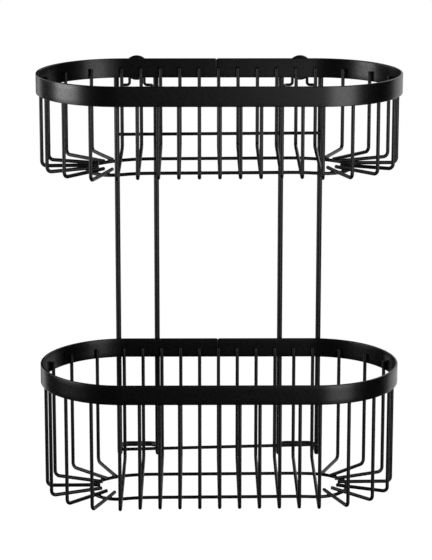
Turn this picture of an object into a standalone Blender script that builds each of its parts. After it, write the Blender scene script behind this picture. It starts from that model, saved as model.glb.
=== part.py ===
"""Two-tier wall shelf of black powder-coated steel wire.

Two oblong baskets of different depth are welded to a pair of long wire hangers. Each hanger carries
a thin wire eye that drops over the neck of a round wall stud, and its lower end turns back to the
wall as a stand-off. The rack lifts straight up off the two studs.

Frame: metres, +X to the right, +Y into the wall, +Z up. The wall plane is y = 0, and the origin lies
on it, midway between the studs and level with their centres.
"""

import math

import bmesh
import bpy
from mathutils import Quaternion, Vector

MM = 0.001

# Baskets, both of one plan
BASKET_WIDTH = 300 * MM
BASKET_DEPTH = 140 * MM
UPPER_HEIGHT = 76.4 * MM  # top of the rim band to the underside of the cross wires
LOWER_HEIGHT = 108.4 * MM
TIER_PITCH = 246.2 * MM  # rim to rim

# Rim band, a flat strip bent on its flat with its ends butted at the middle of the back
BAND_HEIGHT = 16.4 * MM
BAND_THICKNESS = 2.2 * MM
BAND_EDGE = 0.4 * MM  # chamfer of the strip's four edges
SEAM_CORNER = 2 * MM  # rounded corner of each strip end
SEAM_STEPS = 4
BAND_ARC_STEPS = 24

# Basket wires
WIRE = 3 * MM
WIRE_BEND = 4 * MM  # bend radius on the wire's centre line
WIRE_TOP_DROP = 7.7 * MM  # wire ends stop this far below the rim's top edge
CROSS_COUNT = 11
CROSS_OVERHANG = 2 * MM  # the outermost cross wires stand this far past the straight sides
END_COUNT = 7
END_STEP = math.radians(22.5)
END_TIP_OVERHANG = 8 * MM  # the free ends of the end wires reach this far inside the base loop

# Base loop under the basket wires
LOOP_WIRE = 2.8 * MM
LOOP_INSET = 41 * MM  # outside of the rim to the loop's centre line
LOOP_ARC_STEPS = 16

# Rear rails, between the rear uprights of each basket and the hanger legs
RAIL_WIRE = 2.8 * MM
UPPER_RAIL_RISE = 11.5 * MM  # above the underside of the cross wires
LOWER_RAIL_RISE = 9 * MM
RAIL_OVERHANG = 1 * MM  # past the outer legs' centre lines

# Hangers
HANGER_WIRE = 4.5 * MM
HANGER_SPACING = 140 * MM  # stud to stud
LEG_SPACING = 33.5 * MM
LEG_TOP_DROP = 1 * MM
LEG_TO_WALL = 30 * MM  # leg centre line to the wall plane
LEG_BEND = 5 * MM  # at the foot of each leg
WALL_BEND = 8 * MM  # at each end of the stand-off bar, on the wall
RIM_ABOVE_STUD = 12 * MM

# Hook eyes
EYE_WIRE = 2.5 * MM
EYE_TO_WALL = 5 * MM
EYE_FEET_DROP = 15.8 * MM  # below the stud's centre
EYE_FEET_SPREAD = 25.6 * MM  # between the feet where they turn forward
EYE_BEND = 2.5 * MM
EYE_ARC_STEPS = 8
EYE_WELD = 0.5 * MM  # how far the feet are sunk into the legs

# Wall studs
NECK_DIAMETER = 9.5 * MM
HEAD_DIAMETER = 21 * MM
HEAD_THICKNESS = 4 * MM
HEAD_EDGE = 1 * MM
COLLAR_DIAMETER = 16 * MM
COLLAR_THICKNESS = 2.5 * MM
GROOVE_WIDTH = 5.5 * MM
SCREW_HOLE = 4.5 * MM
COUNTERSINK = 9 * MM
STUD_STEPS = 32

# Fits and facets
SEAT_GAP = 0.3 * MM
BEND_STEPS = 3
ROUND_SIDES = 2  # bevel resolution of thin wires, 8 sides
HANGER_SIDES = 3  # bevel resolution of the hangers, 10 sides
JOIN_DISTANCE = 0.001 * MM
SHARP_ANGLE = math.radians(30)

# Sizes that follow from the ones above
END_RADIUS = BASKET_DEPTH / 2
STRAIGHT_HALF = BASKET_WIDTH / 2 - END_RADIUS
CROSS_PITCH = 2 * (STRAIGHT_HALF + CROSS_OVERHANG) / (CROSS_COUNT - 1)
LOOP_RADIUS = END_RADIUS - LOOP_INSET
END_TIP_RADIUS = LOOP_RADIUS - END_TIP_OVERHANG
UPRIGHT_RADIUS = END_RADIUS - BAND_THICKNESS - SEAT_GAP - WIRE / 2
RAIL_OFFSET = UPRIGHT_RADIUS + WIRE / 2 + SEAT_GAP + RAIL_WIRE / 2
LEG_OFFSET = max(RAIL_OFFSET + RAIL_WIRE / 2, END_RADIUS) + SEAT_GAP + HANGER_WIRE / 2
BASKET_CENTRE_Y = -LEG_TO_WALL - LEG_OFFSET
EYE_RADIUS = NECK_DIAMETER / 2 + SEAT_GAP + EYE_WIRE / 2
LOWER_RUN_Z = RIM_ABOVE_STUD - TIER_PITCH - LOWER_HEIGHT + WIRE / 2


def clear_scene():
    for item in list(bpy.data.objects):
        bpy.data.objects.remove(item, do_unlink=True)


def coated_steel(name, shade, roughness):
    """Powder-coated steel: a paint film, so the surface is not metallic."""
    material = bpy.data.materials.new(name)
    material.use_nodes = True
    shader = material.node_tree.nodes["Principled BSDF"]
    shader.inputs["Base Color"].default_value = (shade, shade, shade, 1)
    shader.inputs["Roughness"].default_value = roughness
    shader.inputs["Metallic"].default_value = 0
    return material


def add_empty(name, location, parent=None):
    empty = bpy.data.objects.new(name, None)
    empty.location = location
    empty.parent = parent
    bpy.context.scene.collection.objects.link(empty)
    return empty


def add_object(name, data, parent=None, location=(0, 0, 0), turn=0):
    item = bpy.data.objects.new(name, data)
    item.location = location
    item.rotation_euler.z = turn
    item.parent = parent
    bpy.context.scene.collection.objects.link(item)
    return item


def filleted(corners, steps=BEND_STEPS):
    """Points along straight runs, with each inner corner rounded by an arc of the radius given with it."""
    path = [Vector(corners[0][0])]
    for (before, _), (corner, radius), (after, _) in zip(corners, corners[1:], corners[2:]):
        corner = Vector(corner)
        incoming = (Vector(before) - corner).normalized()
        outgoing = (Vector(after) - corner).normalized()
        half_angle = incoming.angle(outgoing) / 2
        reach = radius / math.tan(half_angle)
        centre = corner + (incoming + outgoing).normalized() * radius / math.sin(half_angle)
        arm = corner + incoming * reach - centre
        last_arm = corner + outgoing * reach - centre
        axis = arm.cross(last_arm).normalized()
        sweep = math.pi - 2 * half_angle
        path += [centre + Quaternion(axis, sweep * step / steps) @ arm for step in range(steps + 1)]
    path.append(Vector(corners[-1][0]))
    return path


def wire_curve(name, points, diameter, sides, material, closed=False):
    """A round wire along the points, with flat ends."""
    curve = bpy.data.curves.new(name, "CURVE")
    curve.dimensions = "3D"
    curve.bevel_depth = diameter / 2
    curve.bevel_resolution = sides
    curve.use_fill_caps = not closed
    spline = curve.splines.new("POLY")
    spline.points.add(len(points) - 1)
    for spline_point, point in zip(spline.points, points):
        spline_point.co = (*point, 1)
    spline.use_cyclic_u = closed
    curve.materials.append(material)
    return curve


def round_ends(arc_steps):
    """Arc centre and outward angle at each step round the basket's two half-circle ends."""
    for side, first in ((1, -math.pi / 2), (-1, math.pi / 2)):
        for step in range(arc_steps + 1):
            yield Vector((side * STRAIGHT_HALF, 0, 0)), first + math.pi * step / arc_steps


def rim_band_mesh(material):
    """The strip's chamfered section carried round the basket, with the seam's rounded corners at the back."""
    stations = [(centre, angle, 0) for centre, angle in round_ends(BAND_ARC_STEPS)]
    seam = []
    for step in range(-SEAM_STEPS, SEAM_STEPS + 1):
        turn = abs(step) / SEAM_STEPS * math.pi / 2
        across = math.copysign(SEAM_CORNER * (1 - math.cos(turn)), -step)
        drop = SEAM_CORNER * (1 - math.sin(turn))
        seam.append((Vector((across, 0, 0)), math.pi / 2, drop))
    stations[BAND_ARC_STEPS + 1 : BAND_ARC_STEPS + 1] = seam
    mesh = bmesh.new()
    rings = []
    for centre, angle, drop in stations:
        outward = Vector((math.cos(angle), math.sin(angle), 0))
        outer = END_RADIUS
        inner = END_RADIUS - BAND_THICKNESS
        section = (
            (outer, -BAND_HEIGHT + BAND_EDGE),
            (outer, -BAND_EDGE - drop),
            (outer - BAND_EDGE, -drop),
            (inner + BAND_EDGE, -drop),
            (inner, -BAND_EDGE - drop),
            (inner, -BAND_HEIGHT + BAND_EDGE),
            (inner + BAND_EDGE, -BAND_HEIGHT),
            (outer - BAND_EDGE, -BAND_HEIGHT),
        )
        rings.append([mesh.verts.new(centre + outward * r + Vector((0, 0, z))) for r, z in section])
    for ring, following in zip(rings, rings[1:] + rings[:1]):
        for i in range(len(ring)):
            j = (i + 1) % len(ring)
            mesh.faces.new((ring[i], following[i], following[j], ring[j]))
    bmesh.ops.recalc_face_normals(mesh, faces=mesh.faces)
    data = bpy.data.meshes.new("rim_band")
    mesh.to_mesh(data)
    mesh.free()
    data.materials.append(material)
    data.shade_smooth()
    data.set_sharp_from_angle(angle=SHARP_ANGLE)
    return data


def cross_wire_curve(name, height, material):
    """One U: down the back, forward under the basket and up the front."""
    run_z = -height + WIRE / 2
    path = filleted(
        [
            ((0, UPRIGHT_RADIUS, -WIRE_TOP_DROP), 0),
            ((0, UPRIGHT_RADIUS, run_z), WIRE_BEND),
            ((0, -UPRIGHT_RADIUS, run_z), WIRE_BEND),
            ((0, -UPRIGHT_RADIUS, -WIRE_TOP_DROP), 0),
        ]
    )
    return wire_curve(name, path, WIRE, ROUND_SIDES, material)


def end_wire_curve(name, height, material):
    """One L of the fan at a round end: down the rim and in towards the centre of the end."""
    run_z = -height + WIRE / 2
    path = filleted(
        [
            ((UPRIGHT_RADIUS, 0, -WIRE_TOP_DROP), 0),
            ((UPRIGHT_RADIUS, 0, run_z), WIRE_BEND),
            ((END_TIP_RADIUS, 0, run_z), 0),
        ]
    )
    return wire_curve(name, path, WIRE, ROUND_SIDES, material)


def base_loop_curve(name, height, material):
    """A closed wire that lies under all the basket wires."""
    loop_z = -height - SEAT_GAP - LOOP_WIRE / 2
    path = [
        centre + Vector((LOOP_RADIUS * math.cos(angle), LOOP_RADIUS * math.sin(angle), loop_z))
        for centre, angle in round_ends(LOOP_ARC_STEPS)
    ]
    return wire_curve(name, path, LOOP_WIRE, ROUND_SIDES, material, closed=True)


def rail_curve(name, material):
    """A straight wire from outer leg to outer leg, between the rear uprights and the legs."""
    half = HANGER_SPACING / 2 + LEG_SPACING / 2 + RAIL_OVERHANG
    return wire_curve(name, [Vector((-half, 0, 0)), Vector((half, 0, 0))], RAIL_WIRE, ROUND_SIDES, material)


def build_basket(tier, height, rim_z, rail_rise, rack, materials):
    """All the pieces of one basket, placed from the middle of its rim's top edge."""
    basket = add_empty(f"{tier}_basket", (0, BASKET_CENTRE_Y, rim_z), rack)
    add_object(f"{tier}_rim_band", rim_band_mesh(materials["band"]), basket)
    cross_wire = cross_wire_curve(f"{tier}_cross_wire", height, materials["wire"])
    for index in range(CROSS_COUNT):
        across = (index - (CROSS_COUNT - 1) / 2) * CROSS_PITCH
        add_object(f"{tier}_cross_wire_{index + 1:02d}", cross_wire, basket, (across, 0, 0))
    end_wire = end_wire_curve(f"{tier}_end_wire", height, materials["wire"])
    for side, place, facing in (("left", -STRAIGHT_HALF, math.pi), ("right", STRAIGHT_HALF, 0)):
        for index in range(END_COUNT):
            turn = facing + (index - (END_COUNT - 1) / 2) * END_STEP
            add_object(f"{tier}_end_wire_{side}_{index + 1}", end_wire, basket, (place, 0, 0), turn)
    add_object(f"{tier}_base_loop", base_loop_curve(f"{tier}_base_loop", height, materials["loop"]), basket)
    rail = rail_curve(f"{tier}_rear_rail", materials["rail"])
    add_object(f"{tier}_rear_rail", rail, basket, (0, RAIL_OFFSET, -height + rail_rise))


def solid_of(curve_object):
    """The curve object's own tube as a mesh, its end caps joined to its sides."""
    bpy.context.view_layer.update()
    graph = bpy.context.evaluated_depsgraph_get()
    data = bpy.data.meshes.new_from_object(curve_object.evaluated_get(graph))
    mesh = bmesh.new()
    mesh.from_mesh(data)
    bmesh.ops.remove_doubles(mesh, verts=mesh.verts, dist=JOIN_DISTANCE)
    bmesh.ops.recalc_face_normals(mesh, faces=mesh.faces)
    mesh.to_mesh(data)
    mesh.free()
    bpy.data.objects.remove(curve_object, do_unlink=True)
    return data


def hanger_loop_curve(material):
    """Down one leg, back to the wall, across the stand-off and up the other leg."""
    leg_x = LEG_SPACING / 2
    leg_y = -LEG_TO_WALL
    top_z = RIM_ABOVE_STUD - LEG_TOP_DROP
    foot_y = -HANGER_WIRE / 2
    path = filleted(
        [
            ((-leg_x, leg_y, top_z), 0),
            ((-leg_x, leg_y, LOWER_RUN_Z), LEG_BEND),
            ((-leg_x, foot_y, LOWER_RUN_Z), WALL_BEND),
            ((leg_x, foot_y, LOWER_RUN_Z), WALL_BEND),
            ((leg_x, leg_y, LOWER_RUN_Z), LEG_BEND),
            ((leg_x, leg_y, top_z), 0),
        ]
    )
    return wire_curve("hanger_loop", path, HANGER_WIRE, HANGER_SIDES, material)


def hook_eye_curve(material):
    """An upside-down U over the stud's neck, whose feet turn out and then run forward onto the legs."""
    turn_x = EYE_FEET_SPREAD / 2
    weld_x = LEG_SPACING / 2 - HANGER_WIRE / 2 - EYE_WIRE / 2 + EYE_WELD
    weld_y = -LEG_TO_WALL - EYE_WIRE / 2
    feet_z = -EYE_FEET_DROP
    half = filleted(
        [
            ((weld_x, weld_y, feet_z), 0),
            ((turn_x, -EYE_TO_WALL, feet_z), EYE_BEND),
            ((EYE_RADIUS, -EYE_TO_WALL, feet_z), EYE_BEND),
            ((EYE_RADIUS, -EYE_TO_WALL, 0), 0),
        ]
    )
    crown = []
    for step in range(1, EYE_ARC_STEPS):
        angle = math.pi * step / EYE_ARC_STEPS
        crown.append(Vector((EYE_RADIUS * math.cos(angle), -EYE_TO_WALL, EYE_RADIUS * math.sin(angle))))
    other_half = [Vector((-point.x, point.y, point.z)) for point in reversed(half)]
    return wire_curve("hook_eye", half + crown + other_half, EYE_WIRE, ROUND_SIDES, material)


def hanger_meshes(material):
    """The hanger loop and its hook eye, which are welded to each other."""
    loop = solid_of(add_object("hanger_loop", hanger_loop_curve(material)))
    eye = solid_of(add_object("hook_eye", hook_eye_curve(material)))
    return loop, eye


def build_hanger(name, centre_x, rack, loop, eye):
    """One hanger: the loop, with the eye joined on by a Boolean union."""
    hanger = add_object(name, loop, rack, (centre_x, 0, 0))
    welded_eye = add_object(f"{name}_eye", eye, rack, (centre_x, 0, 0))
    welded_eye.hide_render = True
    welded_eye.display_type = "WIRE"
    union = hanger.modifiers.new("weld", "BOOLEAN")
    union.operation = "UNION"
    union.object = welded_eye


def stud_mesh(material):
    """A turned stud with a collar, a neck and a round head, bored for a countersunk wall screw."""
    bore = SCREW_HOLE / 2
    sink = COUNTERSINK / 2
    collar = COLLAR_DIAMETER / 2
    neck = NECK_DIAMETER / 2
    head = HEAD_DIAMETER / 2
    groove_end = COLLAR_THICKNESS + GROOVE_WIDTH
    front = groove_end + HEAD_THICKNESS
    edge = HEAD_EDGE * (1 - math.sqrt(0.5))
    profile = (
        (bore, 0),
        (collar, 0),
        (collar, COLLAR_THICKNESS),
        (neck, COLLAR_THICKNESS),
        (neck, groove_end),
        (head, groove_end),
        (head, front - HEAD_EDGE),
        (head - edge, front - edge),
        (head - HEAD_EDGE, front),
        (sink, front),
        (bore, front - (sink - bore)),
    )
    mesh = bmesh.new()
    points = [mesh.verts.new((radius, -depth, 0)) for radius, depth in profile]
    outline = [mesh.edges.new(pair) for pair in zip(points, points[1:] + points[:1])]
    bmesh.ops.spin(
        mesh,
        geom=points + outline,
        cent=(0, 0, 0),
        axis=(0, 1, 0),
        angle=2 * math.pi,
        steps=STUD_STEPS,
        use_merge=True,
    )
    bmesh.ops.remove_doubles(mesh, verts=mesh.verts, dist=JOIN_DISTANCE)
    bmesh.ops.recalc_face_normals(mesh, faces=mesh.faces)
    data = bpy.data.meshes.new("wall_stud")
    mesh.to_mesh(data)
    mesh.free()
    data.materials.append(material)
    data.shade_smooth()
    data.set_sharp_from_angle(angle=SHARP_ANGLE)
    return data


def build_shelf():
    clear_scene()
    materials = {
        "band": coated_steel("rim_band_powder_coat", 0.012, 0.42),
        "wire": coated_steel("basket_wire_powder_coat", 0.014, 0.45),
        "loop": coated_steel("base_loop_powder_coat", 0.012, 0.45),
        "rail": coated_steel("rear_rail_powder_coat", 0.012, 0.45),
        "hanger": coated_steel("hanger_powder_coat", 0.016, 0.45),
        "stud": coated_steel("wall_stud_powder_coat", 0.014, 0.5),
    }
    wall_fixing = add_empty("wall_fixing", (0, 0, 0))
    rack = add_empty("rack", (0, 0, 0), wall_fixing)
    build_basket("upper", UPPER_HEIGHT, RIM_ABOVE_STUD, UPPER_RAIL_RISE, rack, materials)
    lower_rim_z = RIM_ABOVE_STUD - TIER_PITCH
    build_basket("lower", LOWER_HEIGHT, lower_rim_z, LOWER_RAIL_RISE, rack, materials)
    loop, eye = hanger_meshes(materials["hanger"])
    stud = stud_mesh(materials["stud"])
    for side, centre_x in (("left", -HANGER_SPACING / 2), ("right", HANGER_SPACING / 2)):
        build_hanger(f"hanger_{side}", centre_x, rack, loop, eye)
        add_object(f"wall_stud_{side}", stud, wall_fixing, (centre_x, 0, 0))


build_shelf()
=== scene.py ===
# %% [markdown]
# Two-tier wall shelf in satin black wire.
# Two oblong baskets hang on two long wire loops, and the loops hook over two round wall studs. The packed
# solids already hold every size, so this lesson gives only what the eye sees: truly round wire, softened
# edges, the small weld fillets where wires meet, and the powder coat that covers it all.

# %% Load the packed model as the fixed frame
import math

import bpy
import numpy as np
from mathutils import Matrix, Vector


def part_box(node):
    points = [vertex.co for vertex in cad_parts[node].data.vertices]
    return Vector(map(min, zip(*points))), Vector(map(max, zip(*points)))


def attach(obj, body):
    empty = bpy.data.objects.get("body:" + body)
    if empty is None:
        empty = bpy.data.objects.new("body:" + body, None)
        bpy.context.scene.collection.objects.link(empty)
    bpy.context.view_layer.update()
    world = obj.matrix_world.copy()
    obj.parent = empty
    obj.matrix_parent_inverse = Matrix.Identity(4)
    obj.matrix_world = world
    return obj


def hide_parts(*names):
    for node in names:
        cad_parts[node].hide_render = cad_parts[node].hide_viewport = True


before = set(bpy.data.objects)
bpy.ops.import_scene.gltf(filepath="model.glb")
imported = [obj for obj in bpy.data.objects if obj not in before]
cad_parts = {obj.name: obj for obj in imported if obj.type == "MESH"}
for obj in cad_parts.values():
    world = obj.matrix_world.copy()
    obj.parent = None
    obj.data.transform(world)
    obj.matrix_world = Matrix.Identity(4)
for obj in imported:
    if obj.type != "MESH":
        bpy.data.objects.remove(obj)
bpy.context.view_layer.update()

MM = 0.001

# %% [markdown]
# Strip and wire come in stock sizes, so those are written down here. Places are read from the solids where
# their boxes give them, because a surface that is fitted by eye drifts from what carries it. The rim band's
# box gives the basket's plan, and the middle end wire on the right, which points straight along +X, gives
# how far the uprights and the free ends stand from the centre of the round end.

# %% Stock sizes and counts
WIRE = 3 * MM
LOOP_WIRE = 2.8 * MM
RAIL_WIRE = 2.8 * MM
HANGER_WIRE = 4.5 * MM
EYE_WIRE = 2.5 * MM
BAND_THICKNESS = 2.2 * MM
# Clear space between parts that touch, which the welds bridge.
SEAT_GAP = 0.3 * MM
TIERS = ("upper", "lower")
SIDES = (("left", -1), ("right", 1))
CROSS_COUNT = 11
END_COUNT = 7
END_STEP = math.radians(22.5)
print("wires:", [round(size / MM, 1) for size in (WIRE, LOOP_WIRE, RAIL_WIRE, HANGER_WIRE, EYE_WIRE)], "mm")


# %% Box of a CAD node
def box_of(node):
    """Lowest and highest corner of a CAD node, as arrays in metres."""
    low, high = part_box(node)
    return np.array(low), np.array(high)


band_low, band_high = box_of("upper_rim_band")
WIDTH, DEPTH, BAND_HEIGHT = band_high - band_low
print("width, depth and strip of a basket:", ((band_high - band_low) / MM).round(1), "mm")

# %% Plan of a basket
END_RADIUS = DEPTH / 2
STRAIGHT_HALF = WIDTH / 2 - END_RADIUS
CENTRE_Y = (band_low[1] + band_high[1]) / 2
end_low, end_high = box_of("upper_end_wire_right_4")
UPRIGHT_RADIUS = end_high[0] - STRAIGHT_HALF - WIRE / 2
TIP_RADIUS = end_low[0] - STRAIGHT_HALF
WIRE_TOP_DROP = band_high[2] - end_high[2]
loop_low, loop_high = box_of("upper_base_loop")
LOOP_RADIUS = (loop_high[1] - loop_low[1] - LOOP_WIRE) / 2
print("uprights", round(UPRIGHT_RADIUS / MM, 2), "and tips", round(TIP_RADIUS / MM, 2), "mm from the centre")

# %% Legs of a hanger
# The wall is at y = 0, and the legs' centre lines stand this far in front of it.
LEG_Y = -30 * MM
hanger_low, hanger_high = box_of("hanger_right")
LEG_HALF = (hanger_high[0] - hanger_low[0] - HANGER_WIRE) / 2
LOWER_RUN_Z = box_of("lower_end_wire_right_4")[0][2] + WIRE / 2
print("legs", round(LEG_HALF / MM, 2), "mm to either side, down to", round(LOWER_RUN_Z / MM, 2), "mm")

# %% [markdown]
# A wire is bent in a jig, one corner at a time, so the natural way to describe it is a line of corners with
# a bend radius. The round section has to travel along that line without twisting. A sweep by curve object
# would do, but here each bend turns the section about the bend's own axis, which is exact and shows how a
# bent wire's surface is a function of two parameters: the way along it and the way round it.

# %% Turn vectors about an axis
def unit(vector):
    """The vector divided by its length."""
    return vector / np.linalg.norm(vector)


def turned(vectors, axis, angles):
    """Each vector turned by each angle: v cos a + (axis x v) sin a + axis (axis . v)(1 - cos a)."""
    cosine = np.cos(angles)[:, None, None]
    sine = np.sin(angles)[:, None, None]
    lengthwise = axis * (vectors @ axis)[:, None]
    return vectors * cosine + np.cross(axis, vectors) * sine + lengthwise * (1 - cosine)


quarter = turned(np.array([[1.0, 0, 0]]), np.array([0, 0, 1.0]), np.array([math.pi / 2]))
print("X turned by a quarter about Z:", quarter[0, 0].round(3) + 0)

# %% A line with rounded corners
RUN_STEP = 8 * MM
BEND_ANGLE = math.radians(9)
LEAST_BEND_STEPS = 4


def bent_line(corners, radii, bend_angle=BEND_ANGLE, run_step=RUN_STEP):
    """Points along a line of corners, and at each the two unit vectors across it.

    A run is cut into equal steps. A bend is an arc that touches both its runs: it starts
    radius * tan(turn / 2) before the corner, and its pivot lies a radius inside.
    """
    corners = [np.array(corner, float) for corner in corners]
    heading = unit(corners[1] - corners[0])
    spare = np.eye(3)[np.argmin(np.abs(heading))]
    side = unit(np.cross(heading, spare))
    across = np.array([side, np.cross(heading, side)])
    here = corners[0]
    points, frames = [], []
    for index in range(1, len(corners)):
        corner = corners[index]
        last = index == len(corners) - 1
        onward = heading if last else unit(corners[index + 1] - corner)
        turn = 0 if last else math.acos(np.clip(heading @ onward, -1, 1))
        radius = 0 if last else radii[index - 1]
        reach = radius * math.tan(turn / 2)
        stop = corner - heading * reach
        steps = max(1, math.ceil(np.linalg.norm(stop - here) / run_step))
        share = np.linspace(0, 1, steps, endpoint=False)[:, None]
        points.append(here + share * (stop - here))
        frames.append(np.repeat(across[None], steps, axis=0))
        if last:
            break
        axis = unit(np.cross(heading, onward))
        inward = np.cross(axis, heading)
        angles = np.linspace(0, turn, max(LEAST_BEND_STEPS, math.ceil(turn / bend_angle)) + 1)
        arms = turned(-inward[None] * radius, axis, angles)[:, 0]
        bend_frames = turned(across, axis, angles)
        points.append(stop + inward * radius + arms[:-1])
        frames.append(bend_frames[:-1])
        across = bend_frames[-1]
        heading = onward
        here = corner + onward * reach
    points.append(corners[-1][None])
    frames.append(across[None])
    return np.concatenate(points), np.concatenate(frames)


sample, _ = bent_line([(0, 0, 0), (0, 0, -1), (1, 0, -1)], [0.1])
print("a line with one bend has", len(sample), "points")


# %% A closed line
def closed_line(corners, radii, bend_angle=BEND_ANGLE, run_step=RUN_STEP):
    """The same for a closed line, which starts and ends halfway along the run into the first corner."""
    start = (np.array(corners[0], float) + np.array(corners[-1], float)) / 2
    points, frames = bent_line([start, *corners, start], radii, bend_angle, run_step)
    return points[:-1], frames[:-1]


def oblong(radius):
    """The four corners of a basket's plan, a radius from its centre line, from the rear left one round."""
    reach = STRAIGHT_HALF + radius
    return [(-reach, radius, 0), (-reach, -radius, 0), (reach, -radius, 0), (reach, radius, 0)]


sample, _ = closed_line(oblong(END_RADIUS), [END_RADIUS] * 4)
print("a basket's plan has", len(sample), "points")

# %% [markdown]
# The skin is laid over rings of points. Ring after ring is joined by quads, and a wire's free end closes on
# a pole. The cut end of a real wire is never sharp, because the coat draws back from an edge and rounds it,
# so the last rings shrink by a quarter circle before the pole.

# %% Rings round a line
WIRE_SIDES = 20


def rings_round(points, frames, radii):
    """A ring at each point: point + radius (cos a * side + sin a * up), for evenly spaced angles a."""
    angles = np.arange(WIRE_SIDES) * 2 * math.pi / WIRE_SIDES
    circle = np.stack([np.cos(angles), np.sin(angles)], axis=1)
    return points[:, None] + np.einsum("n,kc,ncx->nkx", radii, circle, frames)


print("a ring spans", round(WIRE / MM, 1), "mm with", WIRE_SIDES, "points")

# %% Softened cut ends
EDGE_STEPS = 4


def softened(points, frames, radius, edge):
    """Points, frames and radii with both ends rounded.

    The ring at angle a shrinks to radius - edge (1 - sin a) and stands edge (1 - cos a) inside the end.
    """
    angles = np.linspace(0, math.pi / 2, EDGE_STEPS, endpoint=False)
    inset = edge * (1 - np.cos(angles))[:, None]
    shrunk = radius - edge * (1 - np.sin(angles))
    first = np.cross(frames[0, 0], frames[0, 1])
    last = np.cross(frames[-1, 0], frames[-1, 1])
    middle = points.copy()
    middle[0] += first * edge
    middle[-1] -= last * edge
    points = np.concatenate([points[0] + first * inset, middle, (points[-1] - last * inset)[::-1]])
    ends = np.repeat(frames[:1], EDGE_STEPS, axis=0), np.repeat(frames[-1:], EDGE_STEPS, axis=0)
    frames = np.concatenate([ends[0], frames, ends[1]])
    radii = np.concatenate([shrunk, np.full(len(middle), radius), shrunk[::-1]])
    return points, frames, radii


print("each cut end takes", EDGE_STEPS, "more rings")


# %% Skin over rings
def skin(rings, looped=False):
    """Vertices and faces over a batch of ring stacks, shaped (batch, rings, points round, 3).

    Looped stacks close on themselves. The others get a pole at the middle of their first and last ring.
    """
    batch, count, sides = rings.shape[:3]
    index = np.arange(batch * count * sides).reshape(batch, count, sides)
    beside = np.roll(index, -1, axis=2)
    rows = count if looped else count - 1
    ahead = np.roll(index, -1, axis=1)[:, :rows]
    ahead_beside = np.roll(beside, -1, axis=1)[:, :rows]
    quads = np.stack([index[:, :rows], beside[:, :rows], ahead_beside, ahead], axis=-1).reshape(-1, 4)
    vertices = rings.reshape(-1, 3)
    if looped:
        return vertices, quads.tolist()
    poles = rings[:, [0, -1]].mean(axis=2)
    pole_index = batch * count * sides + np.arange(batch * 2).reshape(batch, 2, 1)
    pole_index = np.repeat(pole_index, sides, axis=2)
    starts = np.stack([pole_index[:, 0], beside[:, 0], index[:, 0]], axis=-1).reshape(-1, 3)
    ends = np.stack([pole_index[:, 1], index[:, -1], beside[:, -1]], axis=-1).reshape(-1, 3)
    vertices = np.concatenate([vertices, poles.reshape(-1, 3)])
    return vertices, quads.tolist() + starts.tolist() + ends.tolist()


sample, sample_faces = skin(np.zeros((1, 3, WIRE_SIDES, 3)))
print("three rings and two poles:", len(sample), "vertices,", len(sample_faces), "faces")

# %% A wire along a bent line
CUT_EDGE = 0.45 * MM


def round_wire(corners, radii, diameter):
    """A wire along a bent line, with softened cut ends."""
    points, frames = bent_line(corners, radii)
    points, frames, radii = softened(points, frames, diameter / 2, CUT_EDGE)
    return skin(rings_round(points, frames, radii)[None])


sample, sample_faces = round_wire([(0, 0, 0), (0, 0, -0.1)], [], WIRE)
print("a straight wire of 100 mm:", len(sample), "vertices,", len(sample_faces), "faces")

# %% [markdown]
# A finished surface becomes one mesh object at the origin, with its place in its mesh, as a CAD node's is.
# It rides on the CAD body that it belongs to and hides the plain solids that it stands for. Where one
# fillet serves many wires, it stands for none of them.

# %% Put a finished piece in the scene
made = []


def add_piece(name, surface, body, material, stands_for=()):
    """One smooth mesh object, riding on a body and standing for CAD nodes."""
    vertices, faces = surface
    mesh = bpy.data.meshes.new(name)
    mesh.from_pydata(vertices, [], faces)
    mesh.shade_smooth()
    mesh.materials.append(material)
    piece = bpy.data.objects.new(name, mesh)
    bpy.context.scene.collection.objects.link(piece)
    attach(piece, body)
    if stands_for:
        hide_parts(*stands_for)
    made.append(piece)
    return piece


print("pieces so far:", len(made))

# %% [markdown]
# The finish is a satin polyester powder coat: dry powder is sprayed on and baked, and it flows into a skin
# about 0.08 mm thick. It is paint and not metal, so the shader is a dielectric with black pigment. What the
# eye gets is a soft, wide highlight, and very faintly the orange-peel waves that the melt leaves behind.
# Their real height is a few hundredths of a millimetre or less, so bump carries them and not geometry.

# %% sRGB hex to linear
def linear(hex_colour):
    """sRGB hex to linear RGBA: a channel c is c / 12.92, or ((c + 0.055) / 1.055) ** 2.4 above 0.04045."""
    channels = np.array([int(hex_colour[at : at + 2], 16) for at in (1, 3, 5)]) / 255
    curved = np.where(channels <= 0.04045, channels / 12.92, ((channels + 0.055) / 1.055) ** 2.4)
    return (*curved.tolist(), 1)


COAT_BLACK = linear("#060607")
print("black pigment:", [round(channel, 4) for channel in COAT_BLACK])


# %% Add a node
def add_node(tree, kind, values=None, links=None, **settings):
    """A node of that kind, with its properties, its input values and its input links."""
    node = tree.nodes.new(kind)
    for name, value in settings.items():
        setattr(node, name, value)
    for name, value in (values or {}).items():
        node.inputs[name].default_value = value
    for name, output in (links or {}).items():
        tree.links.new(output, node.inputs[name])
    return node


print("add_node:", add_node.__doc__)

# %% Satin powder coat
COAT_IOR = 1.5
# Nearly all of a noise texture's values lie between these two.
NOISE_LOW, NOISE_HIGH = 0.3, 0.7
PEEL_DETAIL = 2
GRAIN_DETAIL = 3
# The powder's own grain is near 0.05 mm, which is too fine to show, so it is drawn this coarse.
GRAIN = 0.35 * MM
GRAIN_HEIGHT = 0.001 * MM


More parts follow.
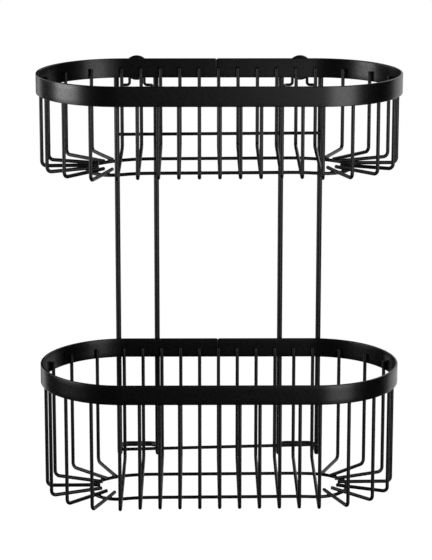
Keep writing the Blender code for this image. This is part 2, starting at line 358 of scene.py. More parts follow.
def powder_coat(name, roughness, peel, peel_height):
    """Black pigment under a satin skin, with two bumps: orange peel, and the finer grain of the powder.

    A noise texture's scale is one over the size of its features, and Object coordinates are metres.
    The sheen follows the waves: roughness goes from its low to its high value as the noise does.
    """
    material = bpy.data.materials.new(name)
    material.use_nodes = True
    tree = material.node_tree
    tree.nodes.clear()
    place = add_node(tree, "ShaderNodeTexCoord").outputs["Object"]
    peel_size = {"Scale": 1 / peel, "Detail": PEEL_DETAIL}
    grain_size = {"Scale": 1 / GRAIN, "Detail": GRAIN_DETAIL}
    waves = add_node(tree, "ShaderNodeTexNoise", peel_size, {"Vector": place})
    specks = add_node(tree, "ShaderNodeTexNoise", grain_size, {"Vector": place})
    sheen = add_node(
        tree,
        "ShaderNodeMapRange",
        {"From Min": NOISE_LOW, "From Max": NOISE_HIGH, "To Min": roughness[0], "To Max": roughness[1]},
        {"Value": waves.outputs["Fac"]},
    )
    peeled = add_node(
        tree, "ShaderNodeBump", {"Strength": 1, "Distance": peel_height}, {"Height": waves.outputs["Fac"]}
    )
    grained = add_node(
        tree,
        "ShaderNodeBump",
        {"Strength": 1, "Distance": GRAIN_HEIGHT},
        {"Height": specks.outputs["Fac"], "Normal": peeled.outputs["Normal"]},
    )
    shader = add_node(
        tree,
        "ShaderNodeBsdfPrincipled",
        {"Base Color": COAT_BLACK, "Metallic": 0, "IOR": COAT_IOR},
        {"Roughness": sheen.outputs["Result"], "Normal": grained.outputs["Normal"]},
    )
    add_node(tree, "ShaderNodeOutputMaterial", links={"Surface": shader.outputs["BSDF"]})
    return material


print("the grain is", round(GRAIN / MM, 2), "mm wide and", round(GRAIN_HEIGHT / MM, 3), "mm high")

# %% The coat on each kind of steel
# How wide and how high the waves of the orange peel are, and the same on the thin coat of the studs.
PEEL = 2.5 * MM
PEEL_HEIGHT = 0.006 * MM
THIN_PEEL = 2 * MM
THIN_PEEL_HEIGHT = 0.004 * MM
# On the flat strip the melt flows out evenly, so the band mirrors a lamp as one soft patch with a clear edge.
STRIP_COAT = powder_coat("satin_powder_coat_on_strip", (0.27, 0.33), PEEL, PEEL_HEIGHT)
# Thin wire holds the melt less well, so its highlight is a narrow grey line that blurs along its edges.
WIRE_COAT = powder_coat("satin_powder_coat_on_wire", (0.38, 0.44), PEEL, PEEL_HEIGHT)
# The heavier wire is duller again, and its line is wide enough to show the dark between two lamps.
HANGER_COAT = powder_coat("satin_powder_coat_on_hanger_wire", (0.42, 0.48), PEEL, PEEL_HEIGHT)
# The studs are turned and coated thinly so that the hooks still fit. They are a shade duller than the strip.
STUD_COAT = powder_coat("satin_powder_coat_on_turned_steel", (0.30, 0.36), THIN_PEEL, THIN_PEEL_HEIGHT)
print("coats:", [coat.name for coat in (STRIP_COAT, WIRE_COAT, HANGER_COAT, STUD_COAT)])

# %% [markdown]
# The rim is a flat strip, bent round on its flat until its two ends meet at the middle of the back. Its four
# long edges are rolled soft. Where the ends meet they are welded and dressed, which leaves the top corners
# rounded off into a small notch and a shallow groove down both faces. The surface is the strip's section,
# carried round the oblong, with the notch and the groove as functions of the distance from the seam.

# %% Section of the strip
BAND_EDGE = 0.6 * MM
BAND_EDGE_ANGLE = math.radians(18)


def band_section():
    """Points round the section, as outward and upward distances from its outer top corner."""
    corners = [(0, 0, 0), (0, -BAND_HEIGHT, 0), (-BAND_THICKNESS, -BAND_HEIGHT, 0), (-BAND_THICKNESS, 0, 0)]
    section, _ = closed_line(corners, [BAND_EDGE] * 4, BAND_EDGE_ANGLE, BAND_HEIGHT / 4)
    return section[:, 0], section[:, 1]


print("the strip's section has", len(band_section()[0]), "points")

# %% Stations round the rim
BAND_BEND_ANGLE = math.radians(2)
SEAM_X = {"upper": -1.7 * MM, "lower": -0.4 * MM}
SEAM_STATIONS = np.array([0, 0.15, 0.3, 0.5, 0.8, 1.2, 1.6, 2, 2.6]) * MM


def rim_stations(seam_x):
    """Points round the rim with the outward unit vector at each, starting with close ones at the seam."""
    line, frames = closed_line(oblong(END_RADIUS), [END_RADIUS] * 4, BAND_BEND_ANGLE)
    heading = np.cross(frames[:, 0], frames[:, 1])
    outward = np.stack([heading[:, 1], -heading[:, 0], np.zeros(len(line))], axis=1)
    near_seam = (np.abs(line[:, 0]) <= RUN_STEP) & (line[:, 1] > 0)
    order = np.roll(np.arange(len(line)), -np.argmax(line[:, 0] < -RUN_STEP))
    order = order[~near_seam[order]]
    seam_line = np.zeros((2 * len(SEAM_STATIONS) - 1, 3))
    seam_line[:, 0] = seam_x + np.concatenate([SEAM_STATIONS[::-1], -SEAM_STATIONS[1:]])
    seam_line[:, 1] = END_RADIUS
    seam_outward = np.repeat([[0.0, 1.0, 0.0]], len(seam_line), axis=0)
    return np.concatenate([seam_line, line[order]]), np.concatenate([seam_outward, outward[order]])


print("the upper rim has", len(rim_stations(SEAM_X["upper"])[0]), "stations")

# %% Notch and groove of the seam
NOTCH_HALF = 1.9 * MM
NOTCH_DEPTH = 1.1 * MM
NOTCH_REACH = 5 * MM
SEAM_GROOVE = 0.06
SEAM_GROOVE_WIDTH = 0.5 * MM


def seam_form(from_seam):
    """How far the top edge drops, and by what share the strip thins, at distances from the seam.

    The drop is depth (1 - sqrt(1 - (1 - x / half)^2)), which rounds both ends off, and the share
    is groove * exp(-(x / width)^2).
    """
    inside = np.clip(1 - from_seam / NOTCH_HALF, 0, None)
    drop = NOTCH_DEPTH * (1 - np.sqrt(1 - inside**2))
    thinned = SEAM_GROOVE * np.exp(-((from_seam / SEAM_GROOVE_WIDTH) ** 2))
    return drop, thinned


print("drop at the seam", round(seam_form(np.zeros(1))[0][0] / MM, 2), "mm")


# %% Rim bands
def rim_band(rim_z, seam_x):
    """The section at each station: station + outward * across + z * down, thinned and dropped at the seam."""
    section_out, section_up = band_section()
    line, outward = rim_stations(seam_x)
    at_back = line[:, 1] > END_RADIUS - MM
    from_seam = np.where(at_back, np.abs(line[:, 0] - seam_x), NOTCH_HALF)
    drop, thinned = seam_form(from_seam)
    half = BAND_THICKNESS / 2
    across = (section_out + half) * (1 - thinned[:, None]) - half
    down = section_up - drop[:, None] * np.clip(1 + section_up / NOTCH_REACH, 0, 1)
    rings = line[:, None] + outward[:, None] * across[..., None]
    rings[..., 1] += CENTRE_Y
    rings[..., 2] += rim_z + down
    return skin(rings[None], looped=True)


for tier in TIERS:
    node = f"{tier}_rim_band"
    surface = rim_band(box_of(node)[1][2], SEAM_X[tier])
    band = add_piece(f"{node}_coated", surface, "rack", STRIP_COAT, [node])
    print(band.name, len(band.data.vertices), "vertices")

# %% [markdown]
# A basket like this is welded by hand, and it pulls a little as it cools. In the photograph the rim is true,
# but the floor hangs a shade lower at the left than at the right, the rounded ends have dropped by a
# millimetre or two, and two of the fans are turned by a degree or so. That is this one rack's make and not
# its design, so the solids stay true and the scene bends the finished surfaces: nothing moves at the rim,
# and the floor moves by at most 3 mm.

# %% How a welded basket settles
FLOOR_SLOPE = 0.0056
SAG_START = 60 * MM
SAG_END = 100 * MM
FAN_SAG = {"upper_left": 2.1 * MM, "upper_right": 1.7 * MM, "lower_left": 2.2 * MM, "lower_right": 0.9 * MM}


def settled(tier, surface):
    """A basket's surface with its floor settled: z falls by share * (sag * s(|x|) - slope * x).

    The share grows from 0 at the rim to 1 at the floor, and s is the smooth step 3t^2 - 2t^3 outward.
    """
    vertices, faces = surface
    rim_z = box_of(f"{tier}_rim_band")[1][2]
    floor_z = box_of(f"{tier}_base_loop")[0][2]
    x, z = vertices[:, 0], vertices[:, 2]
    share = np.clip((rim_z - z) / (rim_z - floor_z), 0, 1)
    outward = np.clip((np.abs(x) - SAG_START) / (SAG_END - SAG_START), 0, 1)
    sag = np.where(x < 0, FAN_SAG[f"{tier}_left"], FAN_SAG[f"{tier}_right"])
    fall = share * (sag * outward**2 * (3 - 2 * outward) - FLOOR_SLOPE * x)
    return vertices - fall[:, None] * (0, 0, 1), faces


left_fall = FAN_SAG["upper_left"] + FLOOR_SLOPE * WIDTH / 2
print("the upper floor's left end falls", round(left_fall / MM, 1), "mm")

# %% [markdown]
# Each cross wire is one U, bent twice: down inside the back of the rim, forward under the basket and up
# inside the front. Each end wire is one L of a fan of seven, and its foot points at the centre of the round
# end. Both are the same sweep along a bent line, so one function serves, and only the corners change.

# %% Cross wires
WIRE_BEND = 4 * MM
BACK_Y = CENTRE_Y + UPRIGHT_RADIUS
FRONT_Y = CENTRE_Y - UPRIGHT_RADIUS
cross_places = {tier: [] for tier in TIERS}
for tier in TIERS:
    for index in range(CROSS_COUNT):
        node = f"{tier}_cross_wire_{index + 1:02d}"
        low, high = box_of(node)
        x, run_z = (low[0] + high[0]) / 2, low[2] + WIRE / 2
        corners = [(x, BACK_Y, high[2]), (x, BACK_Y, run_z), (x, FRONT_Y, run_z), (x, FRONT_Y, high[2])]
        surface = settled(tier, round_wire(corners, [WIRE_BEND] * 2, WIRE))
        add_piece(f"{node}_coated", surface, "rack", WIRE_COAT, [node])
        cross_places[tier].append(x)
    print(tier, "cross wires every", round((cross_places[tier][1] - cross_places[tier][0]) / MM, 2), "mm")

# %% End wires
FAN_TURN_DEGREES = {"upper_left": 2, "upper_right": 0.35, "lower_left": 0, "lower_right": 0.6}


def end_angles(tier, name):
    """The seven directions of one fan, from the round end's centre: facing + turn + (k - 3) * step."""
    facing = 0 if name == "right" else math.pi
    turn = math.radians(FAN_TURN_DEGREES[f"{tier}_{name}"])
    return facing + turn + (np.arange(END_COUNT) - (END_COUNT - 1) / 2) * END_STEP


for tier in TIERS:
    for name, side in SIDES:
        centre = np.array([side * STRAIGHT_HALF, CENTRE_Y, 0])
        for index, angle in enumerate(end_angles(tier, name)):
            node = f"{tier}_end_wire_{name}_{index + 1}"
            low, high = box_of(node)
            outward = np.array([math.cos(angle), math.sin(angle), 0])
            run_z = low[2] + WIRE / 2
            top = centre + outward * UPRIGHT_RADIUS + (0, 0, high[2])
            knee = centre + outward * UPRIGHT_RADIUS + (0, 0, run_z)
            tip = centre + outward * TIP_RADIUS + (0, 0, run_z)
            surface = settled(tier, round_wire([top, knee, tip], [WIRE_BEND], WIRE))
            add_piece(f"{node}_coated", surface, "rack", WIRE_COAT, [node])
print("basket wires:", len(made) - len(TIERS))

# %% [markdown]
# Under the basket wires lies a closed oblong of wire, and behind the rear uprights runs a thin straight
# rail from one hanger to the other. Both are plain sweeps again: one closed, one with no bend at all. This
# rack's rails were welded on by eye and each falls to the left, which opens the gap that the photograph
# shows between the left stand-off and the lower rail.

# %% Base loops
LOOP_BEND_ANGLE = math.radians(4)
for tier in TIERS:
    node = f"{tier}_base_loop"
    low, high = box_of(node)
    points, frames = closed_line(oblong(LOOP_RADIUS), [LOOP_RADIUS] * 4, LOOP_BEND_ANGLE)
    points += (0, CENTRE_Y, (low[2] + high[2]) / 2)
    rings = rings_round(points, frames, np.full(len(points), LOOP_WIRE / 2))
    surface = settled(tier, skin(rings[None], looped=True))
    add_piece(f"{node}_coated", surface, "rack", WIRE_COAT, [node])
    print(tier, "loop at", round((low[2] + high[2]) / 2 / MM, 2), "mm")

# %% Rear rails
RAIL_SLOPE = {"upper": 0.006, "lower": 0.024}


def rail_height(tier, x):
    """Height of a rail's centre line at x: the height of its solid + slope * x."""
    low, high = box_of(f"{tier}_rear_rail")
    return (low[2] + high[2]) / 2 + RAIL_SLOPE[tier] * x


for tier in TIERS:
    node = f"{tier}_rear_rail"
    low, high = box_of(node)
    ends = [(x, (low[1] + high[1]) / 2, rail_height(tier, x)) for x in (low[0], high[0])]
    surface = round_wire(ends, [], RAIL_WIRE)
    add_piece(f"{node}_coated", surface, "rack", WIRE_COAT, [node])
    print(tier, "rail from", (ends[0][2] / MM).round(2), "to", (ends[1][2] / MM).round(2), "mm")

# %% [markdown]
# A hanger is one long U of heavier wire: down a leg, back to the wall, across, forward and up the other
# leg. The part that turns back stands the rack off the wall.

# %% Hangers
LEG_BEND = 5 * MM
WALL_BEND = 8 * MM
FOOT_Y = -HANGER_WIRE / 2
hanger_places = []
for name, _ in SIDES:
    node = f"hanger_{name}"
    low, high = box_of(node)
    x = (low[0] + high[0]) / 2
    hanger_places.append(x)
    leg = [(LEG_HALF, LEG_Y, high[2]), (LEG_HALF, LEG_Y, LOWER_RUN_Z), (LEG_HALF, FOOT_Y, LOWER_RUN_Z)]
    corners = [(x - reach, y, z) for reach, y, z in leg] + [(x + reach, y, z) for reach, y, z in leg[::-1]]
    surface = round_wire(corners, [LEG_BEND, WALL_BEND, WALL_BEND, LEG_BEND], HANGER_WIRE)
    add_piece(f"{node}_loop_coated", surface, "rack", HANGER_COAT, [node])
    print(node, "at", round(x / MM, 1), "mm")

# %% [markdown]
# The hook eye is a thinner wire, bent in three directions: its feet start on the legs, run back to the wall
# and turn in, and then it goes up and over the stud's neck, behind the head. In the solids it belongs to the
# hanger, so the loop above stands for both and the eye is a piece of its own here.

# %% Hook eyes
NECK = 9.5 * MM
EYE_BEND = 2.5 * MM
# The eye stands 5 mm in front of the wall, and its feet are 15.8 mm below the stud's axis.
EYE_Y = -5 * MM
FEET_Z = -15.8 * MM
EYE_FEET_SPREAD = 25.6 * MM
EYE_WELD = 0.5 * MM
EYE_RADIUS = NECK / 2 + SEAT_GAP + EYE_WIRE / 2
EYE_FOOT_X = LEG_HALF - HANGER_WIRE / 2 - EYE_WIRE / 2 + EYE_WELD
half = [(EYE_FOOT_X, LEG_Y - EYE_WIRE / 2, FEET_Z), (EYE_FEET_SPREAD / 2, EYE_Y, FEET_Z)]
half += [(EYE_RADIUS, EYE_Y, FEET_Z), (EYE_RADIUS, EYE_Y, EYE_RADIUS)]
for (name, _), x in zip(SIDES, hanger_places):
    corners = [(x - reach, y, z) for reach, y, z in half] + [(x + reach, y, z) for reach, y, z in half[::-1]]
    surface = round_wire(corners, [EYE_BEND, EYE_BEND, EYE_RADIUS, EYE_RADIUS, EYE_BEND, EYE_BEND], EYE_WIRE)
    add_piece(f"hanger_{name}_hook_eye_coated", surface, "rack", HANGER_COAT)
print("hook eyes of radius", round(EYE_RADIUS / MM, 2), "mm over necks of", round(NECK / 2 / MM, 2), "mm")

# %% [markdown]
# A wall stud is turned from bar: a collar against the wall, a neck that the hook eye drops over, and a head
# that keeps it there, all bored for a countersunk wall screw. A turned piece is one closed outline spun
# about its axis, and each corner of the outline gets the small radius that a tool and a coat leave.

# %% Outline of a wall stud
HEAD = 21 * MM
HEAD_THICKNESS = 4 * MM
COLLAR = 16 * MM
COLLAR_THICKNESS = 2.5 * MM
SCREW_HOLE = 4.5 * MM
COUNTERSINK = 9 * MM
TOOL_RADIUS = 0.3 * MM
HEAD_ROUNDING = 1.2 * MM
OUTLINE_STEP = 2 * MM


def stud_outline(front):
    """Distances from the axis and depths, closed, from the bore at the wall round by the head."""
    bore, sink, neck, collar, head = SCREW_HOLE / 2, COUNTERSINK / 2, NECK / 2, COLLAR / 2, HEAD / 2
    corners = [(bore, 0), (collar, 0), (collar, -COLLAR_THICKNESS), (neck, -COLLAR_THICKNESS)]
    corners += [(neck, front + HEAD_THICKNESS), (head, front + HEAD_THICKNESS), (head, front)]
    corners += [(sink, front), (bore, front + sink - bore)]
    radii = [TOOL_RADIUS] * 6 + [HEAD_ROUNDING, TOOL_RADIUS, TOOL_RADIUS]
    outline, _ = closed_line([(radius, depth, 0) for radius, depth in corners], radii, run_step=OUTLINE_STEP)
    return outline[:, 0], outline[:, 1]


sample, _ = stud_outline(box_of("wall_stud_right")[0][1])
print("the stud's outline has", len(sample), "points")

# %% Wall studs
STUD_ANGLE_STEPS = 72


def wall_stud(x, front):
    """The outline spun about the stud's axis: (x + radius sin a, depth, radius cos a)."""
    radius, depth = stud_outline(front)
    angles = np.arange(STUD_ANGLE_STEPS)[:, None] * 2 * math.pi / STUD_ANGLE_STEPS
    rings = np.stack([x + np.sin(angles) * radius, depth + 0 * angles, np.cos(angles) * radius], axis=-1)
    return skin(rings[None], looped=True)


for name, _ in SIDES:
    node = f"wall_stud_{name}"
    low, high = box_of(node)
    surface = wall_stud((low[0] + high[0]) / 2, low[1])
    stud = add_piece(f"{node}_coated", surface, "wall_studs", STUD_COAT, [node])
    print(stud.name, len(stud.data.vertices), "vertices")

# %% [markdown]
# Where wires touch, the real rack is resistance-welded: current melts a small nugget at the contact, and
# the coat then fills the corner round it with a hollow fillet. The fillet is a waisted neck between two
# surfaces. It is wide where it meets each one and narrow between, and where it meets a wire it runs along
# the wire. All the necks of one kind are worked out in one array.

# %% Weld necks
NECK_SIDES = 16
NECK_STEPS = 7


def weld_necks(places, towards, along, foot, waist, head, depths):
    """Waisted necks at many places, from a foot surface towards a head surface.

    At height t from -1 to 1 the section is an ellipse whose half axes, along and across, are
    waist + t^2 (end - waist), where the end is the foot's size below the middle and the head's above.
    The height runs from -depths[0] to depths[1] along the towards vector.
    """
    places, towards, along = (np.broadcast_to(part, (len(places), 3)) for part in (places, towards, along))
    height = np.linspace(-1, 1, NECK_STEPS)
    ends = np.where(height[:, None] < 0, np.array(foot), np.array(head))
    half_axes = np.array(waist) + height[:, None] ** 2 * (ends - np.array(waist))
    rise = np.where(height < 0, height * depths[0], height * depths[1])
    angles = np.arange(NECK_SIDES) * 2 * math.pi / NECK_SIDES
    lengthwise = half_axes[:, None, 0] * np.cos(angles)
    crosswise = half_axes[:, None, 1] * np.sin(angles)
    beside = np.cross(towards, along)
    rings = (
        places[:, None, None]
        + lengthwise[None, ..., None] * along[:, None, None]
        + crosswise[None, ..., None] * beside[:, None, None]
        + rise[None, :, None, None] * towards[:, None, None]
    )
    return skin(rings)


print("a neck is", NECK_STEPS, "rings of", NECK_SIDES, "points")

# %% Necks between two crossed wires
# A fillet reaches this share of a wire's radius round it, where the wire has curved away by the hug depth.
HUG = 0.85
HUG_DEPTH = 1 - math.sqrt(1 - HUG**2)
CROSSING_WAIST = 0.9
FILLET_SPREAD = 2 * MM


def crossing(places, towards, along, foot_wire, head_wire):
    """Necks that spread along each wire. Along and across swap over from the head wire to the foot wire."""
    foot_radius, head_radius = foot_wire / 2, head_wire / 2
    waist = CROSSING_WAIST * HUG * min(foot_radius, head_radius)
    return weld_necks(
        places,
        towards,
        along,
        (HUG * foot_radius, FILLET_SPREAD),
        (waist, waist),
        (FILLET_SPREAD, HUG * head_radius),
        (SEAT_GAP / 2 + HUG_DEPTH * foot_radius, SEAT_GAP / 2 + HUG_DEPTH * head_radius),
    )


print("a fillet reaches", round(HUG_DEPTH * WIRE / 2 / MM, 2), "mm up the side of a basket wire")

# %% Necks between a wire and the strip
# Half widths of the neck in wire radii at the strip and at its waist, and its length at the waist.
STRIP_FOOT = 1.1
STRIP_WAIST = 0.6
STRIP_TAPER = 0.94
STRIP_SINK = 0.1 * MM


def against_strip(places, towards, half_length, wire, gap=SEAT_GAP):
    """Long necks between an upright wire and the flat of the rim band."""
    radius = wire / 2
    return weld_necks(
        places,
        towards,
        (0, 0, 1),
        (half_length, STRIP_FOOT * radius),
        (STRIP_TAPER * half_length, STRIP_WAIST * radius),
        (half_length, HUG * radius),
        (gap / 2 + STRIP_SINK, gap / 2 + HUG_DEPTH * radius),
    )


print("on the strip a neck is", round(STRIP_FOOT * WIRE / MM, 2), "mm wide at its foot")


# %% Places in rows and fans
def row_of(xs, y, z):
    """Points at the given x. Their y and z are one number for all of them, or one for each."""
    return np.stack([xs, y + 0 * xs, z + 0 * xs], axis=1)


def fan_places(tier, radius, z):
    """Points and outward vectors at a radius on every end wire of a basket, both ends."""
    angles = np.concatenate([end_angles(tier, name) for name, _ in SIDES])
    centres = row_of(np.repeat([side * STRAIGHT_HALF for _, side in SIDES], END_COUNT), CENTRE_Y, z)
    outward = np.stack([np.cos(angles), np.sin(angles), np.zeros(len(angles))], axis=1)
    return centres + outward * radius, outward


def basket_places(tier, radius, z):
    """Points at a radius on all the wires of a basket, fans first, then the back and the front row."""
    fan, outward = fan_places(tier, radius, z)
    xs = np.array(cross_places[tier])
    places = np.concatenate([fan, row_of(xs, CENTRE_Y + radius, z), row_of(xs, CENTRE_Y - radius, z)])
    return places, np.concatenate([outward, [(0, 1, 0)] * len(xs), [(0, -1, 0)] * len(xs)])


print("welds round one rim:", len(basket_places("upper", UPRIGHT_RADIUS, 0)[0]))

# %% [markdown]
# Every wire of a basket is welded twice: high up to the inside of the strip, and under the floor to the base
# loop. The cross wires are welded to the rear rail as well.

# %% Welds between the wires and the rim
for tier in TIERS:
    rim_z = box_of(f"{tier}_rim_band")[1][2]
    weld_z = rim_z - (WIRE_TOP_DROP + BAND_HEIGHT) / 2
    weld_half = (BAND_HEIGHT - WIRE_TOP_DROP) / 2 - CUT_EDGE
    places, outward = basket_places(tier, UPRIGHT_RADIUS + WIRE / 2 + SEAT_GAP / 2, weld_z)
    surface = against_strip(places, -outward, weld_half, WIRE)
    add_piece(f"{tier}_rim_welds", surface, "rack", WIRE_COAT)
    print(tier, "rim welds:", len(places))

# %% Welds between the wires and the base loop
for tier in TIERS:
    floor_z = box_of(f"{tier}_cross_wire_01")[0][2]
    places, outward = basket_places(tier, LOOP_RADIUS, floor_z - SEAT_GAP / 2)
    surface = settled(tier, crossing(places, (0, 0, 1), outward, LOOP_WIRE, WIRE))
    add_piece(f"{tier}_base_welds", surface, "rack", WIRE_COAT)
    print(tier, "base welds:", len(places))

# %% Welds between the cross wires and the rear rail
for tier in TIERS:
    xs = np.array(cross_places[tier])
    places = row_of(xs, BACK_Y + WIRE / 2 + SEAT_GAP / 2, rail_height(tier, xs))
    surface = crossing(places, (0, -1, 0), (0, 0, 1), RAIL_WIRE, WIRE)
    add_piece(f"{tier}_rail_welds", surface, "rack", WIRE_COAT)
    print(tier, "rail welds:", len(places))

# %% [markdown]
# The four legs carry everything: each is welded to the back of both rims and to both rails.

# %% Welds of the hangers
legs = np.array([x + sign * LEG_HALF for x in hanger_places for sign in (-1, 1)])
LEG_FRONT_Y = LEG_Y - HANGER_WIRE / 2
for tier in TIERS:
    places = row_of(legs, LEG_FRONT_Y - SEAT_GAP / 2, rail_height(tier, legs))
    surface = crossing(places, (0, 1, 0), (0, 0, 1), RAIL_WIRE, HANGER_WIRE)
    add_piece(f"{tier}_rail_to_hanger_welds", surface, "rack", HANGER_COAT)
    rim_z = box_of(f"{tier}_rim_band")[1][2]
    leg_top = min(rim_z, hanger_high[2])
    leg_gap = LEG_FRONT_Y - band_high[1]
    places = row_of(legs, band_high[1] + leg_gap / 2, (leg_top + rim_z - BAND_HEIGHT) / 2)
    weld_half = (leg_top - rim_z + BAND_HEIGHT) / 2 - BAND_EDGE
    surface = against_strip(places, (0, 1, 0), weld_half, HANGER_WIRE, leg_gap)
    add_piece(f"{tier}_rim_to_hanger_welds", surface, "rack", HANGER_COAT)
print("pieces:", len(made))

# %% [markdown]
# The camera stands where the photographer's did, 1.98 m in front of the wall and a third of a metre above
# the studs. The photograph is level with its frame shifted far down, which keeps the uprights parallel. A
# shift that large would push the object out of any other view, so the camera looks down instead and keeps
# only a small part of it.

# %% Camera
CAMERA_PLACE = Vector((-0.0171, -1.9778, 0.3282))
CAMERA_DOWN = math.radians(13.32)
CAMERA_RIGHT = math.radians(0.44)
CAMERA_ROLL = math.radians(0.03)
# Lens and sensor are in millimetres, the shift is a share of the frame, and the reach is in metres.
CAMERA_LENS = 149.35
CAMERA_SENSOR = 36
CAMERA_SHIFT_DOWN = 0.1
CAMERA_REACH = 50

camera_data = bpy.data.cameras.new("camera")
camera_data.lens = CAMERA_LENS
camera_data.sensor_width = CAMERA_SENSOR
camera_data.shift_y = -CAMERA_SHIFT_DOWN
camera_data.clip_end = CAMERA_REACH
camera = bpy.data.objects.new("camera", camera_data)
turn = Matrix.Rotation(-CAMERA_RIGHT, 4, "Z") @ Matrix.Rotation(math.pi / 2 - CAMERA_DOWN, 4, "X")
camera.matrix_world = Matrix.Translation(CAMERA_PLACE) @ turn @ Matrix.Rotation(CAMERA_ROLL, 4, "Z")
bpy.context.scene.collection.objects.link(camera)
bpy.context.scene.camera = camera
print("camera looks down", round(math.degrees(CAMERA_DOWN), 2), "degrees")

# %% [markdown]
# The background is a white room with a wide floor well below the rack, as it hangs free. A ray that the eye
# follows straight, through glass or off a shiny face has to find the same white, so Light Path joins those
# three kinds. Other rays carry light on to the rack, and they find a plainer room, which keeps the level of
# the light down without greying the background.

# %% Rays that see the background
def seen_as_background(tree):
    """1 for camera, glossy and transmission rays, and 0 for the rest: the largest of the three answers."""
    rays = add_node(tree, "ShaderNodeLightPath")
    either = add_node(
        tree,
        "ShaderNodeMath",
        links={0: rays.outputs["Is Camera Ray"], 1: rays.outputs["Is Glossy Ray"]},
        operation="MAXIMUM",
    )
    any_of_three = add_node(
        tree,
        "ShaderNodeMath",
        links={0: either.outputs["Value"], 1: rays.outputs["Is Transmission Ray"]},
        operation="MAXIMUM",
    )
    return any_of_three.outputs["Value"]


print("seen_as_background:", seen_as_background.__doc__)

# %% A wide floor
FLOOR_Z = -1.2
FLOOR_RADIUS = 5
FLOOR_POINTS = 96
floor_angles = np.arange(FLOOR_POINTS) * 2 * math.pi / FLOOR_POINTS
floor_rim = row_of(FLOOR_RADIUS * np.cos(floor_angles), FLOOR_RADIUS * np.sin(floor_angles), FLOOR_Z)
floor_data = bpy.data.meshes.new("floor")
floor_data.from_pydata(floor_rim, [], [list(range(FLOOR_POINTS))])
floor = bpy.data.objects.new("floor", floor_data)
bpy.context.scene.collection.objects.link(floor)
print("floor", -FLOOR_Z, "m below the studs")

# %% Matt white floor paint
# Matt paint spreads the light evenly, and the glow that only the eye sees lifts it to the white of the room.
FLOOR_GLOW = 0.72
floor_paint = bpy.data.materials.new("matt_white_floor_paint")
floor_paint.use_nodes = True
tree = floor_paint.node_tree
tree.nodes.clear()
matt = add_node(tree, "ShaderNodeBsdfDiffuse", {"Color": linear("#e6e6e6")})
glow = add_node(tree, "ShaderNodeEmission", {"Color": (1, 1, 1, 1), "Strength": FLOOR_GLOW})
lifted = add_node(tree, "ShaderNodeAddShader", links={0: matt.outputs["BSDF"], 1: glow.outputs["Emission"]})
mixed = add_node(
    tree,
    "ShaderNodeMixShader",
    links={0: seen_as_background(tree), 1: matt.outputs["BSDF"], 2: lifted.outputs["Shader"]},
)
add_node(tree, "ShaderNodeOutputMaterial", links={"Surface": mixed.outputs["Shader"]})
floor_data.materials.append(floor_paint)
print("floor paint", floor_paint.name)

# %% White room
ROOM_LIGHT = 0.35
world = bpy.data.worlds.new("white_room")
bpy.context.scene.world = world
world.use_nodes = True
tree = world.node_tree
tree.nodes.clear()
ambient = add_node(tree, "ShaderNodeBackground", {"Color": (1, 1, 1, 1), "Strength": ROOM_LIGHT})
white = add_node(tree, "ShaderNodeBackground", {"Color": (1, 1, 1, 1), "Strength": 1})
mixed = add_node(
    tree,
    "ShaderNodeMixShader",
    links={0: seen_as_background(tree), 1: ambient.outputs["Background"], 2: white.outputs["Background"]},
)
add_node(tree, "ShaderNodeOutputWorld", links={"Surface": mixed.outputs["Shader"]})
bpy.context.scene.view_settings.view_transform = "Standard"
print("room light", ROOM_LIGHT, "of the white that the eye sees")

# %% [markdown]
# Black paint shows hardly any light of its own: what shapes it is what it mirrors. In a white room it would
# turn grey, so a photographer stands black cards round it and leaves only a few lit gaps. The photograph's
# highlights say where those are: the white room shows from behind on either side, and the rest of the ring
# is dark. The cards here are seen by shiny rays alone, so they neither hide the rack nor shade it.

# %% Places round the rack
CARD_DISTANCE = 1.3
CARD_ANGLE_STEP = math.radians(5)


def studio_places(azimuth, distance, z):
    """Places at an azimuth in radians: 0 is the camera's side and it grows to the right."""
    across, away = distance * np.sin(azimuth), distance * np.cos(azimuth)
    return np.stack([across, CENTRE_Y - away, z + 0 * azimuth], axis=-1)


print("the camera's side of the ring:", studio_places(np.zeros(1), CARD_DISTANCE, 0)[0].round(3))

# %% Black card
# Black flock card gives nothing back, so what mirrors it stays as dark as the pigment.
card_paper = bpy.data.materials.new("black_flock_card")
card_paper.use_nodes = True
tree = card_paper.node_tree
tree.nodes.clear()
dark = add_node(tree, "ShaderNodeEmission", {"Color": (0, 0, 0, 1), "Strength": 0})
add_node(tree, "ShaderNodeOutputMaterial", links={"Surface": dark.outputs["Emission"]})


def black_card(name, start, stop, low, high):
    """A curved card between two azimuths in degrees, from its low edge to its high edge.

    Each edge is a pair (distance, z), so that a card can stand upright, or lie flat above or below.
    """
    steps = math.ceil(math.radians(stop - start) / CARD_ANGLE_STEP)
    azimuths = np.linspace(math.radians(start), math.radians(stop), steps + 1)
    grid = np.stack([studio_places(azimuths, distance, z) for distance, z in (low, high)])
    index = np.arange(grid.shape[0] * grid.shape[1]).reshape(grid.shape[:2])
    faces = np.stack([index[0, :-1], index[0, 1:], index[1, 1:], index[1, :-1]], axis=-1)
    mesh = bpy.data.meshes.new(name)
    mesh.from_pydata(grid.reshape(-1, 3), [], faces.tolist())
    mesh.materials.append(card_paper)
    card = bpy.data.objects.new(name, mesh)
    card.visible_camera = False
    card.visible_diffuse = False
    card.visible_transmission = False
    card.visible_shadow = False
    bpy.context.scene.collection.objects.link(card)
    return card


print("card paper:", card_paper.name)

# %% Cards round, over and under the rack
CARD_FOOT = (CARD_DISTANCE, -1.15)
CARD_TOP = (CARD_DISTANCE, 1.4)
LEFT_REAR_CARD_TOP = (CARD_DISTANCE, -0.04)
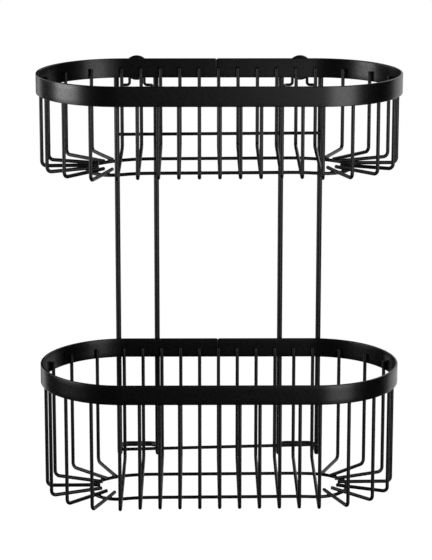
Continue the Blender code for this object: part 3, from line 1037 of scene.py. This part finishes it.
# The back card stands nearer, and the ceiling and floor cards close in to a small hole.
BACK_CARD_FOOT = (1, -0.6)
BACK_CARD_TOP = (1, 0.65)
CARD_HOLE = 0.01
cards = [
    black_card("front_card", start=-103, stop=117, low=CARD_FOOT, high=CARD_TOP),
    black_card("left_rear_card", start=-131, stop=-103, low=CARD_FOOT, high=LEFT_REAR_CARD_TOP),
    black_card("back_card", start=168, stop=212, low=BACK_CARD_FOOT, high=BACK_CARD_TOP),
    black_card("ceiling_card", start=-180, stop=180, low=CARD_TOP, high=(CARD_HOLE, CARD_TOP[1])),
    black_card("floor_card", start=-180, stop=180, low=CARD_FOOT, high=(CARD_HOLE, CARD_FOOT[1])),
]
print("cards:", [card.name for card in cards])

# %% [markdown]
# Two softboxes stand inside the ring. The band's left end mirrors a small bright one beside the rack, and
# its right end a large and dimmer one to the right of the camera. A real softbox is bright in the middle and
# fades at its edge, so each one here has a dim skirt round it, which gives the highlight its soft border.

# %% Softboxes
LAMP_DISTANCE = 1.0


def softbox(name, azimuth, z, width, height, radiance):
    """An upright rectangle of light that faces the rack. Power = radiance * pi * area, and 1 is white."""
    data = bpy.data.lights.new(name, "AREA")
    data.shape = "RECTANGLE"
    data.size = width
    data.size_y = height
    data.energy = radiance * math.pi * width * height
    lamp = bpy.data.objects.new(name, data)
    lamp.location = studio_places(np.array(math.radians(azimuth)), LAMP_DISTANCE, z)
    lamp.rotation_euler = (math.pi / 2, 0, math.radians(azimuth))
    lamp.visible_camera = False
    bpy.context.scene.collection.objects.link(lamp)
    return lamp


print("softboxes stand", LAMP_DISTANCE, "m from the rack")

# %% Left and right softbox
lamps = [
    softbox("left_softbox", azimuth=-76, z=-0.08, width=0.55, height=0.16, radiance=9.5),
    softbox("left_softbox_skirt", azimuth=-76, z=-0.08, width=0.64, height=0.66, radiance=1.5),
    softbox("right_softbox", azimuth=35, z=-0.12, width=0.52, height=0.86, radiance=2.6),
    softbox("right_softbox_skirt", azimuth=30, z=0.2, width=0.95, height=1.15, radiance=0.75),
]
print("lamps:", [(lamp.name, round(lamp.data.energy, 2)) for lamp in lamps])
